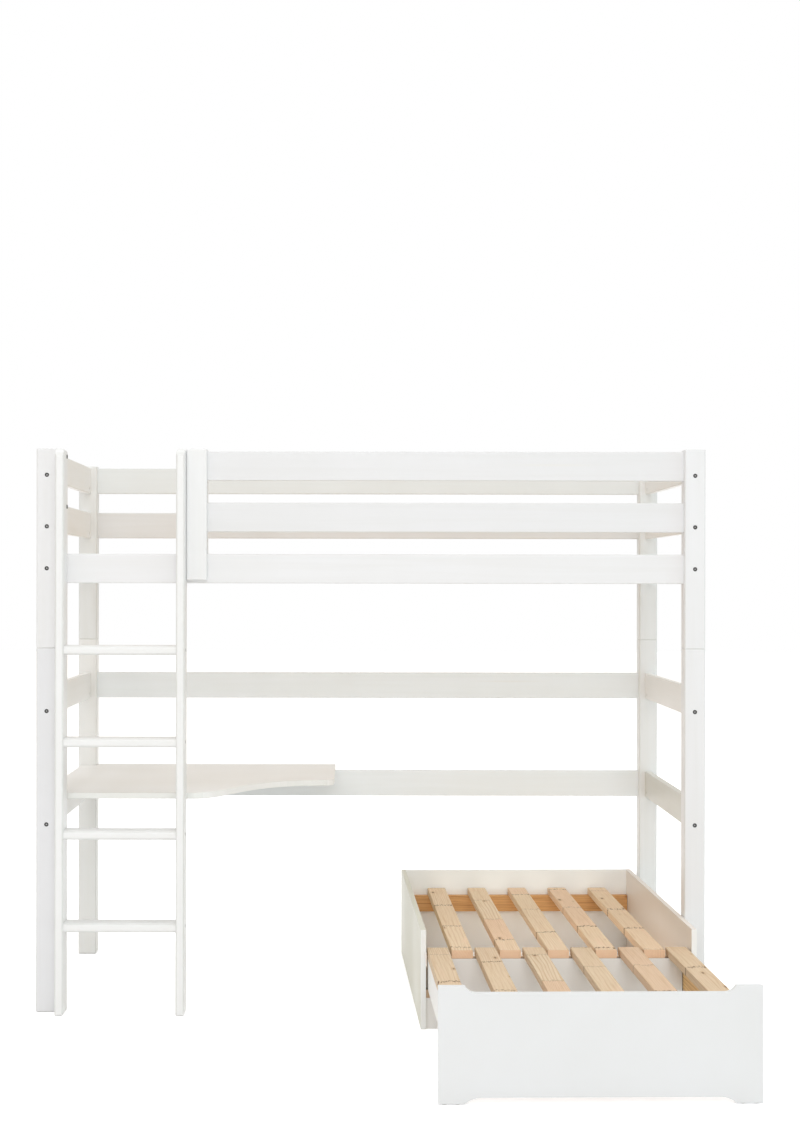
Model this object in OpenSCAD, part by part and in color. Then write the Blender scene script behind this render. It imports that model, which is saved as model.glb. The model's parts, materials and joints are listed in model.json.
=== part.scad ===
// Cabin bed on four posts, with a fixed ladder, a corner desk top and a pull-out slatted lounge.
// Millimetres. +Z is up, +X runs along the bed and +Y runs towards the wall.
// The origin lies on the floor, under the middle of the bed and its extended lounge.

/* [Posts] */
// Length of the bed over its posts
bed_l = 2090; // [2000:5:2250]
// Depth of the bed over its posts
bed_w = 995; // [940:5:1100]
// Height of the posts
bed_h = 1762; // [1650:2:1900]
// Side of the square posts
post_w = 65; // [60:1:75]
// Drop from the side rails' underside to the split in each post
post_joint_drop = 203; // [120:1:240]
// Radius on the long edges and the tops of the posts
post_edge_r = 5; // [3:0.5:8]
// Chamfer round the foot of each post
foot_chamfer = 4; // [2:0.5:8]
// Chamfer on both sides of the split in each post
joint_chamfer = 2; // [0.5:0.5:3]

/* [Rails] */
// Height of every rail
rail_h = 92; // [80:1:100]
// Thickness of every rail
rail_t = 22; // [18:1:28]
// Radius on the long edges of the rails
rail_edge_r = 3; // [1:0.5:5]
// Underside of the rails that carry the desk top
desk_rail_z = 571; // [540:1:600]
// Drop from the post tops to the upper guard rails' top edges
guard_drop = 7; // [2:1:20]
// Rise from the side rails to the lower guard rails, and from those to the upper ones
guard_pitch = 161; // [140:1:180]
// Drop from the side rails, which carry the slatted base, to the middle rails
middle_drop = 416; // [380:2:450]
// Rise from a rail's underside to its lower fixing, and from its upper fixing to its top
fixing_rise = 16; // [12:1:22]

/* [Fixings] */
// Shank diameter of the rail bolts
bolt_d = 6; // [5:0.5:8]
// Head diameter of the rail bolts
bolt_head_d = 13; // [12:0.5:16]
// Head height of the rail bolts
bolt_head_h = 2.2; // [1.8:0.1:4]
// Depth from a rail's end to the middle of its barrel nut
nut_depth = 35; // [28:1:45]
// Diameter of the barrel nuts
nut_d = 10; // [10:0.5:12]
// Length of the barrel nuts
nut_l = 14; // [12:1:16]
// Diameter of the rail dowels
dowel_d = 8; // [6:0.5:9]
// Length of the rail dowels
dowel_l = 34; // [26:1:40]
// Diameter of the long dowels that join the post halves
post_dowel_d = 12; // [10:0.5:14]
// Length of the long dowels that join the post halves
post_dowel_l = 100; // [80:2:120]
// Reach of the rail bolts past their barrel nuts
bolt_spare = 2; // [1:0.5:4]
// Shank diameter of the wood screws
screw_d = 5; // [4:0.5:6]
// Head diameter of the wood screws
screw_head_d = 9; // [8:0.5:10]
// Depth to which the screws bite into a thick board
screw_bite = 14; // [10:1:17]
// Depth to which the screws bite into a panel
panel_bite = 10; // [8:1:12]
// Clearance between a fixing and its hole, and between seated pieces
seat_gap = 0.3; // [0.2:0.05:0.5]
// Clearance round boards that lie between others
board_gap = 1; // [0.5:0.5:2]
// Radius on the long edges of panels and ledgers
board_edge_r = 1.5; // [0.5:0.5:2.5]

/* [Slatted base] */
// Number of slats in the upper bed
bed_slat_n = 14; // [10:1:18]
// Width of the slats in the upper bed
bed_slat_w = 70; // [50:1:80]
// Thickness of the slats in the upper bed
bed_slat_t = 18; // [15:1:22]
// Width of the ledgers under the slats
ledger_w = 25; // [20:1:30]
// Height of the ledgers under the slats
ledger_h = 30; // [24:1:34]
// Rise from the side rails' underside to the ledgers
ledger_rise = 4; // [0:1:8]
// Number of screws in each ledger
ledger_screw_n = 5; // [3:1:7]

/* [Ladder and guard post] */
// Width of the ladder over its stringers
ladder_w = 402; // [360:1:460]
// Thickness of the ladder stringers
stringer_t = 27; // [24:1:32]
// Depth of the ladder stringers
stringer_d = 93; // [80:1:105]
// Reach of the stringers in front of the posts
stringer_reach = 51; // [45:1:56]
// Drop from the post tops to the stringers' tops
stringer_drop = 2; // [0:1:10]
// Radius on the stringers' tops, seen from the side
stringer_top_r = 30; // [15:1:40]
// Radius on the stringers' tops, seen from the front
stringer_tip_r = 12; // [4:1:12]
// Radius on the long edges of the stringers
stringer_edge_r = 7; // [2:0.5:8]
// Underside of the lowest rung
rung_z = 257; // [230:1:280]
// Rise from one rung to the next
rung_pitch = 287; // [270:1:290]
// Thickness of the rungs
rung_t = 29; // [26:1:34]
// Depth of the rungs
rung_d = 77; // [60:1:77]
// Setback of the rungs behind the stringers' rounded front edges
rung_setback = 1; // [0.5:0.5:8]
// Radius on the long edges of the rungs
rung_edge_r = 9; // [4:1:12]
// Depth of the housings that hold the rungs' ends
rung_housing = 6; // [4:1:10]
// Rise of the guard post's foot above the side rail's underside
guard_foot_rise = 9; // [4:1:16]
// Drop from the post tops to the upper ladder bolts
ladder_bolt_drop = 25; // [20:1:40]
// Distance between the ladder bolts
ladder_bolt_pitch = 157; // [120:1:180]
// Setback of the ladder bolts from the stringers' rear edges
ladder_bolt_setback = 24; // [16:1:32]
// Depth to which the ladder bolts bite into the posts
ladder_bolt_bite = 35; // [25:1:45]
// Length of the rung bolts
rung_bolt_l = 50; // [40:1:70]

/* [Desk top] */
// Thickness of the desk top
desk_t = 19; // [16:1:28]
// Reach of the desk top along the bed, from the bed's left end
desk_l = 928; // [860:2:1100]
// Setback of the desk top from the bed's left end
desk_end_setback = 10; // [4:1:18]
// Setback of the desk top from the wall side of the posts
desk_wall_setback = 5; // [0:1:15]
// Where the wave in the front edge begins, from the bed's left end
wave_start = 490; // [480:2:560]
// Depth of the wave, from the wide part of the desk to the narrow part
wave_depth = 383; // [300:1:440]
// Length of the handles that shape the wave
wave_handle = 120; // [60:2:180]
// Further reach of the wave's second handle towards the narrow end
wave_lean = 204; // [180:2:240]
// Radius of the desk top's free corner
desk_corner_r = 45; // [20:1:60]

/* [Lounge, fixed part] */
// Width of the lounge over its side panels
lounge_w = 834; // [780:2:900]
// Depth of the lounge's fixed part
lounge_d = 1195; // [1100:5:1250]
// Height of the lounge's panels
panel_h = 300; // [285:1:330]
// Thickness of the side and back panels
panel_t = 16; // [15:1:19]
// Angle by which the lounge stands turned on the floor
lounge_turn = 1.25; // [0:0.05:1.3]
// Gap between the lounge and the bed's right front post
lounge_post_gap = 1.5; // [1:0.5:20]
// Gap between the lounge and the wall
lounge_wall_gap = 1; // [1:0.5:20]
// Number of fixed slats
slat_n = 5; // [3:1:5]
// Distance between the middles of neighbouring fixed slats
slat_pitch = 145.4; // [140:0.2:147]
// Width of the lounge slats
slat_w = 64; // [56:1:66]
// Thickness of the lounge slats
slat_t = 25; // [20:1:28]
// Radius on the long edges of the lounge slats
slat_edge_r = 3; // [1:0.5:5]
// Height of the fixed slats' underside
slat_z = 211; // [200:1:222]
// Height of the ledger on the back panel
back_ledger_h = 57; // [40:1:70]
// Thickness of the ledger on the back panel
back_ledger_t = 25; // [20:1:30]
// Thickness of the cross board under the slats' front ends
cross_t = 17; // [15:1:20]
// Setback of the cross board behind the side panels' front edges
cross_setback = 9; // [6:1:14]
// Height of the runners that the pull-out rails slide on
runner_h = 24; // [18:1:30]
// Gap between the back panel and the slats' rear ends
slat_end_gap = 4; // [2:0.5:8]
// Setback of the slats' front ends behind the cross board's face
slat_setback = 3; // [0:0.5:6]
// Rise of the lowest screws in the side panels
low_screw_z = 30; // [20:1:40]

/* [Lounge, pull-out part] */
// Distance from the lounge's back to the pull-out's front face, fully extended
pullout_reach = 2019; // [1980:1:2030]
// Thickness of the front panel
front_t = 18; // [16:1:22]
// Overhang of the front panel beyond the side panels
front_overhang = 4; // [0:0.5:6]
// Height of the front panel's middle above the floor
front_mid_z = 288; // [285:1:305]
// Rise of the front panel's raised ends above its middle
ear_rise = 18; // [8:1:24]
// Width of the raised ends
ear_w = 70; // [50:1:90]
// Length of the curve beside each raised end
ear_curve = 29; // [20:1:44]
// Height of the arch under the front panel's middle
arch_rise = 16; // [10:1:30]
// Width of the front panel's feet
foot_w = 69; // [50:1:90]
// Length of the curve beside each foot
foot_curve = 45; // [24:1:50]
// Thickness of the felt glides under the feet
glide_t = 2; // [1.5:0.5:5]
// Diameter of the felt glides
glide_d = 14; // [10:0.5:15]
// Height of the pull-out side rails
slide_rail_h = 91; // [70:1:91]
// Thickness of the pull-out rails
slide_rail_t = 18; // [15:1:22]
// Gap between each side panel and its pull-out rail
slide_side_gap = 6; // [3:0.5:7]
// Gap between the pull-out side rails and the slats above them
slide_top_gap = 2; // [1:0.5:4]
// Running clearance of the pull-out over the cross board and under the fixed slats
slide_gap = 0.6; // [0.4:0.1:1]
// Gap left between the pull-out and what stops it, at both ends of its travel
stop_gap = 1; // [0.5:0.5:3]
// Depth of the comb cuts in the rear rail, under the fixed slats
comb_depth = 3; // [2:0.5:8]
// Gap on each side of a fixed slat in its comb cut
comb_gap = 1.5; // [1:0.5:4]
// Overlap of the pull-out slats' rear ends with the fixed slats' front ends
slat_overlap = 40; // [36:1:60]
// Thickness of the ledger behind the front panel
front_ledger_t = 20; // [15:1:24]

/* [Hidden] */
$fn = 48;
cut = 0.1;          // overrun of a cut past the face that it opens
arc_n = 4;          // steps in an eased corner
wave_n = 24;        // steps in the desk top's wave
rung_n = 4;         // rungs of the ladder, each a node of its own

paint = [0.93, 0.94, 0.94];
pine = [0.86, 0.68, 0.45];
steel = [0.25, 0.24, 0.23];
felt = [0.35, 0.33, 0.3];

hole_d = bolt_d + 2 * seat_gap;
head_sink = bolt_head_h + seat_gap;
half_post = post_w / 2;

// Undersides of the five rail levels
upper_guard_z = bed_h - guard_drop - rail_h;
lower_guard_z = upper_guard_z - guard_pitch;
side_rail_z = lower_guard_z - guard_pitch;
middle_rail_z = side_rail_z - middle_drop;
levels = [desk_rail_z, middle_rail_z, side_rail_z, lower_guard_z, upper_guard_z];

// Fixing heights of one level: a side rail takes the bolt of the end rail at mid height
function end_bolt_z(z) = z == side_rail_z ? z + rail_h / 2 : z + fixing_rise;
function end_dowels_z(z) = z == side_rail_z ? [z + fixing_rise, z + rail_h - fixing_rise]
                                            : [z + rail_h - fixing_rise];
function long_bolts_z(z) = z == side_rail_z ? [z + fixing_rise, z + rail_h - fixing_rise]
                                            : [z + rail_h - fixing_rise];
function long_dowel_z(z) = z == side_rail_z ? z + rail_h / 2 : z + fixing_rise;

// Places across the bed's depth and along its length
front_rail_y = half_post;
rear_rail_y = bed_w - half_post;
left_rail_x = half_post;
right_rail_x = bed_l - half_post;
front_rail_back = front_rail_y + rail_t / 2;
rear_rail_front = rear_rail_y - rail_t / 2;
guard_x = post_w + ladder_w + 2 * seat_gap;
guard_end = guard_x + post_w;
stringer_back = stringer_d - stringer_reach;
desk_z = desk_rail_z + rail_h;
post_joint_z = side_rail_z - post_joint_drop;

// The lounge's own frame: x from its left side, y from its back (negative in front of it)
lounge_x = bed_l - post_w - lounge_post_gap - bed_w * tan(lounge_turn);
lounge_y = bed_w - lounge_wall_gap;
cross_front = -(lounge_d - cross_setback);
cross_back = cross_front + cross_t;
ledger_front = -(panel_t + back_ledger_t);
slat_front = cross_front + slat_setback;
slide_rail_z = slat_z - slide_rail_h - slide_top_gap;
runner_z = slide_rail_z - seat_gap - runner_h;
slide_rail_x = panel_t + slide_side_gap;
slide_inner_x = slide_rail_x + slide_rail_t;
slat_lift = slat_z + slide_gap;
front_y = -pullout_reach;
front_back = front_y + front_t;
front_ledger_back = front_back + front_ledger_t;
rear_rail_y0 = cross_back + stop_gap;
pullout_slat_back = slat_front + slat_overlap;
runner_w = slide_inner_x - panel_t;

// The assembly's reach along Y, for the origin
reach_y = lounge_y - (lounge_w + front_overhang) * sin(lounge_turn) - pullout_reach * cos(lounge_turn);
centre_x = bed_l / 2;
centre_y = (bed_w + reach_y) / 2;

// ---- Outlines ----

// Arc of a corner about (cx, cy), from angle a0 on, in n steps
function corner(cx, cy, r, a0, n) =
    [for (i = [0:n]) [cx + r * cos(a0 + 90 * i / n), cy + r * sin(a0 + 90 * i / n)]];

// Outline w wide and l tall: low corners of radius r0 in n0 steps, high corners r1 in n1 steps
function bar_outline(w, l, r0, r1, n0 = arc_n, n1 = arc_n) = concat(
    corner(w - r1, l - r1, r1, 0, n1),
    corner(r1, l - r1, r1, 90, n1),
    corner(r0, r0, r0, 180, n0),
    corner(w - r0, r0, r0, 270, n0));

// Point of a cubic curve
function bezier(p, t) =
    p[0] * pow(1 - t, 3) + p[1] * 3 * t * pow(1 - t, 2) + p[2] * 3 * t * t * (1 - t) + p[3] * pow(t, 3);

// ---- Boards and fixings ----

// Board of length l along X, t thick in Y and h tall, centred on y = 0
module board_x(l, t, h, r) {
    rotate([90, 0, 90])
        linear_extrude(l)
            translate([-t / 2, 0])
                polygon(bar_outline(t, h, r, r));
}

// Board of length l along Y, t thick in X and h tall, centred on x = 0
module board_y(l, t, h, r) {
    translate([0, l, 0])
        rotate([90, 0, 0])
            linear_extrude(l)
                translate([-t / 2, 0])
                    polygon(bar_outline(t, h, r, r));
}

// Upright of section w by d, eased on its long edges and at both ends
module upright(w, d, l, r, r0, r1, n0, n1) {
    intersection() {
        linear_extrude(l)
            polygon(bar_outline(w, d, r, r));
        rotate([90, 0, 90])
            linear_extrude(w)
                polygon(bar_outline(d, l, r0, r1, n0, n1));
        translate([0, d, 0])
            rotate([90, 0, 0])
                linear_extrude(d)
                    polygon(bar_outline(w, l, r0, r1, n0, n1));
    }
}

// Socket-head bolt: the head stands on z = 0 and the shank runs down
module bolt(l, d = bolt_d, head_d = bolt_head_d, head_h = bolt_head_h) {
    difference() {
        union() {
            translate([0, 0, -l])
                cylinder(d = d, h = l + cut);
            rotate_extrude()
                polygon([[0, 0], [head_d / 2, 0], [head_d / 2, head_h * 0.5],
                         [head_d / 2 - head_h * 0.5, head_h], [0, head_h]]);
        }
        translate([0, 0, head_h * 0.2])
            cylinder(d = head_d * 0.45, h = head_h, $fn = 6);
    }
}

// Clearance hole of depth l below z = 0, open above it
module hole(l, d) {
    translate([0, 0, -l])
        cylinder(d = d, h = l + cut);
}

// Hole for a bolt whose head stands on z = 0, with the counterbore that takes the head
module bolt_hole(l) {
    hole(l + seat_gap, hole_d);
    cylinder(d = bolt_head_d + 2 * seat_gap, h = head_sink + cut);
}

// Countersunk wood screw of length l, let in just below the face at z = 0
module screw(l) {
    r = screw_d / 2;
    head_r = screw_head_d / 2;
    translate([0, 0, -seat_gap])
        rotate_extrude()
            polygon([[0, -l], [r / 3, -l], [r, r - l], [r, r - head_r], [head_r, 0],
                     [head_r * 0.4, 0], [head_r * 0.3, -head_r / 2], [0, -head_r / 2]]);
}

module screw_hole(l) {
    r = screw_d / 2 + seat_gap;
    head_r = screw_head_d / 2 + seat_gap;
    translate([0, 0, -seat_gap])
        rotate_extrude()
            polygon([[0, -l - seat_gap], [r, -l - seat_gap], [r, r - head_r], [head_r, 0],
                     [head_r, seat_gap + cut], [0, seat_gap + cut]]);
}

// Turns that send the local up direction towards -X, +X, -Y and +Y
module face_left() { rotate([0, -90, 0]) children(); }
module face_right() { rotate([0, 90, 0]) children(); }
module face_front() { rotate([90, 0, 0]) children(); }
module face_back() { rotate([-90, 0, 0]) children(); }

// ---- Places of the repeated fixings ----

rail_bolt_l = post_w - head_sink + nut_depth + nut_d / 2 + bolt_spare;
dowel_half = dowel_l / 2;

// Bolts of the end rails, along Y, through every post
module at_end_bolts() {
    for (z = levels, x = [left_rail_x, right_rail_x]) {
        translate([x, head_sink, end_bolt_z(z)]) face_front() children();
        translate([x, bed_w - head_sink, end_bolt_z(z)]) face_back() children();
    }
}

// Dowels of the end rails, centred on the joint between post and rail
module at_end_dowels() {
    for (z = levels, dz = end_dowels_z(z))
        for (x = [left_rail_x, right_rail_x], y = [post_w, bed_w - post_w])
            translate([x, y, dz]) face_back() children();
}

// Barrel nuts of the end rails, pushed in from the rails' inner faces
module at_end_nuts() {
    for (z = levels, y = [post_w + nut_depth, bed_w - post_w - nut_depth]) {
        translate([left_rail_x, y, end_bolt_z(z)]) face_right() children();
        translate([right_rail_x, y, end_bolt_z(z)]) face_left() children();
    }
}

// Bolts of the long rails, along X: rear rails, front side rail, and the guard rails' right ends
module at_long_bolts() {
    for (z = levels, bz = long_bolts_z(z)) {
        translate([head_sink, rear_rail_y, bz]) face_left() children();
        translate([bed_l - head_sink, rear_rail_y, bz]) face_right() children();
    }
    for (bz = long_bolts_z(side_rail_z))
        translate([head_sink, front_rail_y, bz]) face_left() children();
    for (z = [side_rail_z, lower_guard_z, upper_guard_z], bz = long_bolts_z(z))
        translate([bed_l - head_sink, front_rail_y, bz]) face_right() children();
}

// Bolts that hold the guard rails to the guard post
module at_guard_bolts() {
    for (z = [lower_guard_z, upper_guard_z], bz = long_bolts_z(z))
        translate([guard_x + head_sink, front_rail_y, bz]) face_left() children();
}

// Dowels of the long rails
module at_long_dowels() {
    for (z = levels, x = [post_w, bed_l - post_w])
        translate([x, rear_rail_y, long_dowel_z(z)]) face_right() children();
    for (x = [post_w, bed_l - post_w])
        translate([x, front_rail_y, long_dowel_z(side_rail_z)]) face_right() children();
    for (z = [lower_guard_z, upper_guard_z], x = [guard_end, bed_l - post_w])
        translate([x, front_rail_y, long_dowel_z(z)]) face_right() children();
}

// Barrel nuts of the long rails: behind the rear rails, and inside the front ones
module at_long_nuts() {
    for (z = levels, bz = long_bolts_z(z), x = [post_w + nut_depth, bed_l - post_w - nut_depth])
        translate([x, rear_rail_y, bz]) face_back() children();
    for (bz = long_bolts_z(side_rail_z), x = [post_w + nut_depth, bed_l - post_w - nut_depth])
        translate([x, front_rail_y, bz]) face_back() children();
    for (z = [lower_guard_z, upper_guard_z], bz = long_bolts_z(z),
         x = [guard_end + nut_depth, bed_l - post_w - nut_depth])
        translate([x, front_rail_y, bz]) face_back() children();
}

// Ladder bolts: from inside each stringer into the post or the guard post beside it
ladder_bolt_l = stringer_t + ladder_bolt_bite;
ladder_bolt_y = stringer_back - ladder_bolt_setback;
left_inner_x = post_w + seat_gap + stringer_t;
right_inner_x = guard_x - seat_gap - stringer_t;
ladder_bolt_zs = [bed_h - ladder_bolt_drop, bed_h - ladder_bolt_drop - ladder_bolt_pitch];
module at_ladder_bolts() {
    for (z = ladder_bolt_zs) {
        translate([left_inner_x, ladder_bolt_y, z]) face_right() children();
        translate([right_inner_x, ladder_bolt_y, z]) face_left() children();
    }
}

// Rung bolts, from the stringers' outer faces
rung_y = -stringer_reach + stringer_edge_r + rung_setback + rung_d / 2;
rung_zs = [for (i = [0:rung_n - 1]) rung_z + i * rung_pitch];
module at_rung_bolts() {
    for (z = rung_zs) {
        translate([post_w + seat_gap + head_sink, rung_y, z + rung_t / 2]) face_left() children();
        translate([guard_x - seat_gap - head_sink, rung_y, z + rung_t / 2]) face_right() children();
    }
}

// Screws from behind the side rail into the guard post's cheek
guard_screw_l = rail_t + screw_bite;
guard_screw_zs = [side_rail_z + ledger_rise + ledger_h + bed_slat_t + screw_head_d,
                  side_rail_z + rail_h - screw_head_d];
module at_guard_screws() {
    for (z = guard_screw_zs)
        translate([guard_x + half_post, front_rail_back, z]) face_back() children();
}

// Screws through each ledger into its side rail, midway between slats
ledger_screw_l = ledger_w + screw_bite;
module at_ledger_screws() {
    for (i = [0:ledger_screw_n - 1]) {
        gap_i = round(i * (bed_slat_n - 2) / (ledger_screw_n - 1));
        x = bed_slat_x(gap_i + 0.5);
        translate([x, front_rail_back + ledger_w, ledger_z + ledger_h / 2]) face_back() children();
        translate([x, rear_rail_front - ledger_w, ledger_z + ledger_h / 2]) face_front() children();
    }
}

// Screws through both ends of every slat into the ledgers
slat_screw_l = bed_slat_t + screw_bite;
module at_slat_screws() {
    for (i = [0:bed_slat_n - 1], y = [front_rail_back + ledger_w / 2, rear_rail_front - ledger_w / 2])
        translate([bed_slat_x(i), y, ledger_z + ledger_h + bed_slat_t]) children();
}

// Every clearance hole of the bed frame's bolts, nuts and dowels
module frame_holes() {
    at_end_bolts() bolt_hole(rail_bolt_l);
    at_long_bolts() bolt_hole(rail_bolt_l);
    at_end_dowels() dowel_hole(dowel_half, dowel_d);
    at_long_dowels() dowel_hole(dowel_half, dowel_d);
    at_end_nuts() nut_hole();
    at_long_nuts() nut_hole();
}

// The same, for the bolts and screws of the guard post and the ladder
module ladder_holes() {
    at_guard_bolts() bolt_hole(rail_bolt_l);
    at_ladder_bolts() hole(ladder_bolt_l + seat_gap, hole_d);
    at_guard_screws() screw_hole(guard_screw_l);
}

module dowel_hole(half, d) {
    translate([0, 0, -half - seat_gap])
        cylinder(d = d + 2 * seat_gap, h = 2 * (half + seat_gap));
}

// Blind cross hole of a barrel nut, open on the side that the local up direction faces
module nut_hole() {
    translate([0, 0, -nut_l / 2 - seat_gap])
        cylinder(d = nut_d + 2 * seat_gap, h = nut_l / 2 + seat_gap + rail_t / 2 + cut);
}

// ---- Posts ----

// Half a post at corner (x, y), from z0 up to z1, with radius or chamfer r0 and r1 at its ends
module post_half(x, y, z0, z1, r0, r1, n0, n1) {
    color(paint)
        difference() {
            translate([x, y, z0])
                upright(post_w, post_w, z1 - z0, post_edge_r, r0, r1, n0, n1);
            frame_holes();
            ladder_holes();
            post_dowel_holes();
        }
}

module post_dowel_holes() {
    at_posts()
        dowel_hole(post_dowel_l / 2, post_dowel_d);
}

module at_posts() {
    for (x = [half_post, bed_l - half_post], y = [half_post, bed_w - half_post])
        translate([x, y, post_joint_z]) children();
}

module lower_post(x, y) { post_half(x, y, 0, post_joint_z, foot_chamfer, joint_chamfer, 1, 1); }
module upper_post(x, y) { post_half(x, y, post_joint_z, bed_h, joint_chamfer, post_edge_r, 1, arc_n); }

module front_left_lower_post() { lower_post(0, 0); }
module front_left_upper_post() { upper_post(0, 0); }
module front_right_lower_post() { lower_post(bed_l - post_w, 0); }
module front_right_upper_post() { upper_post(bed_l - post_w, 0); }
module rear_left_lower_post() { lower_post(0, bed_w - post_w); }
module rear_left_upper_post() { upper_post(0, bed_w - post_w); }
module rear_right_lower_post() { lower_post(bed_l - post_w, bed_w - post_w); }
module rear_right_upper_post() { upper_post(bed_l - post_w, bed_w - post_w); }

module post_dowels() {
    color(pine)
        at_posts()
            translate([0, 0, -post_dowel_l / 2])
                cylinder(d = post_dowel_d, h = post_dowel_l);
}

// ---- Rails ----

// Rail along X between x0 and x1, centred on y, with its underside at z
module long_rail(x0, x1, y, z) {
    color(paint)
        difference() {
            translate([x0, y, z])
                board_x(x1 - x0, rail_t, rail_h, rail_edge_r);
            frame_holes();
            ladder_holes();
            at_ledger_screws() screw_hole(ledger_screw_l);
        }
}

// Rail along Y between the front and rear posts, centred on x
module end_rail(x, z) {
    color(paint)
        difference() {
            translate([x, post_w, z])
                board_y(bed_w - 2 * post_w, rail_t, rail_h, rail_edge_r);
            frame_holes();
        }
}

module front_side_rail() { long_rail(post_w, bed_l - post_w, front_rail_y, side_rail_z); }
module front_lower_guard_rail() { long_rail(guard_end, bed_l - post_w, front_rail_y, lower_guard_z); }
module front_upper_guard_rail() { long_rail(guard_end, bed_l - post_w, front_rail_y, upper_guard_z); }
module rear_desk_rail() { long_rail(post_w, bed_l - post_w, rear_rail_y, desk_rail_z); }
module rear_middle_rail() { long_rail(post_w, bed_l - post_w, rear_rail_y, middle_rail_z); }
module rear_side_rail() { long_rail(post_w, bed_l - post_w, rear_rail_y, side_rail_z); }
module rear_lower_guard_rail() { long_rail(post_w, bed_l - post_w, rear_rail_y, lower_guard_z); }
module rear_upper_guard_rail() { long_rail(post_w, bed_l - post_w, rear_rail_y, upper_guard_z); }
module left_desk_rail() { end_rail(left_rail_x, desk_rail_z); }
module left_middle_rail() { end_rail(left_rail_x, middle_rail_z); }
module left_side_rail() { end_rail(left_rail_x, side_rail_z); }
module left_lower_guard_rail() { end_rail(left_rail_x, lower_guard_z); }
module left_upper_guard_rail() { end_rail(left_rail_x, upper_guard_z); }
module right_desk_rail() { end_rail(right_rail_x, desk_rail_z); }
module right_middle_rail() { end_rail(right_rail_x, middle_rail_z); }
module right_side_rail() { end_rail(right_rail_x, side_rail_z); }
module right_lower_guard_rail() { end_rail(right_rail_x, lower_guard_z); }
module right_upper_guard_rail() { end_rail(right_rail_x, upper_guard_z); }

// Guard post: a full post above the side rail, and a cheek in front of it
module guard_post() {
    guard_z = side_rail_z + guard_foot_rise;
    color(paint)
        difference() {
            translate([guard_x, 0, guard_z])
                upright(post_w, post_w, bed_h - guard_z, post_edge_r, foot_chamfer, post_edge_r, 1, arc_n);
            translate([guard_x - cut, front_rail_y - rail_t / 2, guard_z - cut])
                cube([post_w + 2 * cut, post_w, side_rail_z + rail_h + seat_gap - guard_z + cut]);
            at_long_dowels() dowel_hole(dowel_half, dowel_d);
            ladder_holes();
        }
}

// ---- Fixings of the bed frame ----

module at_rail_bolts() {
    at_end_bolts() children();
    at_long_bolts() children();
    at_guard_bolts() children();
}

module rail_bolts() {
    color(steel)
        at_rail_bolts() bolt(rail_bolt_l);
}

// Barrel nut with a slot that turns it towards its bolt
nut_slot = 1.4;
module barrel_nut() {
    difference() {
        translate([0, 0, -nut_l / 2])
            cylinder(d = nut_d, h = nut_l);
        translate([0, 0, nut_l / 2])
            cube([nut_slot, 2 * nut_d, 2 * nut_slot], center = true);
    }
}

module barrel_nuts() {
    color(steel)
        difference() {
            union() {
                at_end_nuts() barrel_nut();
                at_long_nuts() barrel_nut();
            }
            at_rail_bolts() hole(rail_bolt_l + bolt_spare, bolt_d + seat_gap);
        }
}

module rail_dowel() {
    translate([0, 0, -dowel_half])
        cylinder(d = dowel_d, h = dowel_l);
}

module rail_dowels() {
    color(pine) {
        at_end_dowels() rail_dowel();
        at_long_dowels() rail_dowel();
    }
}

module wood_screws() {
    color(steel) {
        at_guard_screws() screw(guard_screw_l);
        at_ledger_screws() screw(ledger_screw_l);
        at_slat_screws() screw(slat_screw_l);
    }
}

// ---- Slatted base ----

ledger_z = side_rail_z + ledger_rise;

module slat_ledger(y) {
    color(pine)
        difference() {
            translate([post_w + board_gap, y, ledger_z])
                board_x(bed_l - 2 * (post_w + board_gap), ledger_w, ledger_h, board_edge_r);
            at_ledger_screws() screw_hole(ledger_screw_l);
            at_slat_screws() screw_hole(slat_screw_l);
        }
}

module front_slat_ledger() { slat_ledger(front_rail_back + ledger_w / 2); }
module rear_slat_ledger() { slat_ledger(rear_rail_front - ledger_w / 2); }

// Middle of slat i along the bed, counted from 0
first_slat_x = post_w + bed_slat_w;
function bed_slat_x(i) = first_slat_x + i * (bed_l - 2 * first_slat_x) / (bed_slat_n - 1);

module bed_slats() {
    slat_len = rear_rail_front - front_rail_back - 2 * board_gap;
    color(pine)
        difference() {
            for (i = [0:bed_slat_n - 1])
                translate([bed_slat_x(i), front_rail_back + board_gap, ledger_z + ledger_h])
                    board_y(slat_len, bed_slat_w, bed_slat_t, slat_edge_r);
            at_slat_screws() screw_hole(slat_screw_l);
        }
}

// ---- Ladder ----

// Stringer with its left face at x, notched over the front side rail
module stringer(x) {
    notch_y = front_rail_y - rail_t / 2 - seat_gap;
    l = bed_h - stringer_drop;
    color(paint)
        difference() {
            intersection() {
                translate([x, -stringer_reach, 0])
                    rotate([90, 0, 90])
                        linear_extrude(stringer_t)
                            polygon(bar_outline(stringer_d, l, foot_chamfer, stringer_top_r, 1, 8));
                translate([x, stringer_back, 0])
                    rotate([90, 0, 0])
                        linear_extrude(stringer_d)
                            polygon(bar_outline(stringer_t, l, foot_chamfer, stringer_tip_r, 1, 6));
                translate([x, -stringer_reach, 0])
                    linear_extrude(l)
                        polygon(bar_outline(stringer_t, stringer_d, stringer_edge_r, stringer_edge_r));
            }
            translate([x - cut, notch_y, side_rail_z - seat_gap])
                cube([stringer_t + 2 * cut, stringer_d, rail_h + 2 * seat_gap]);
            for (z = rung_zs)
                translate([left_inner_x - rung_housing, rung_y, z - seat_gap])
                    board_x(right_inner_x - left_inner_x + 2 * rung_housing,
                            rung_d + 2 * seat_gap, rung_t + 2 * seat_gap, rung_edge_r);
            at_ladder_bolts() hole(ladder_bolt_l + seat_gap, hole_d);
            at_rung_bolts() bolt_hole(rung_bolt_l);
        }
}

module ladder_left_stringer() { stringer(post_w + seat_gap); }
module ladder_right_stringer() { stringer(right_inner_x); }

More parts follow.
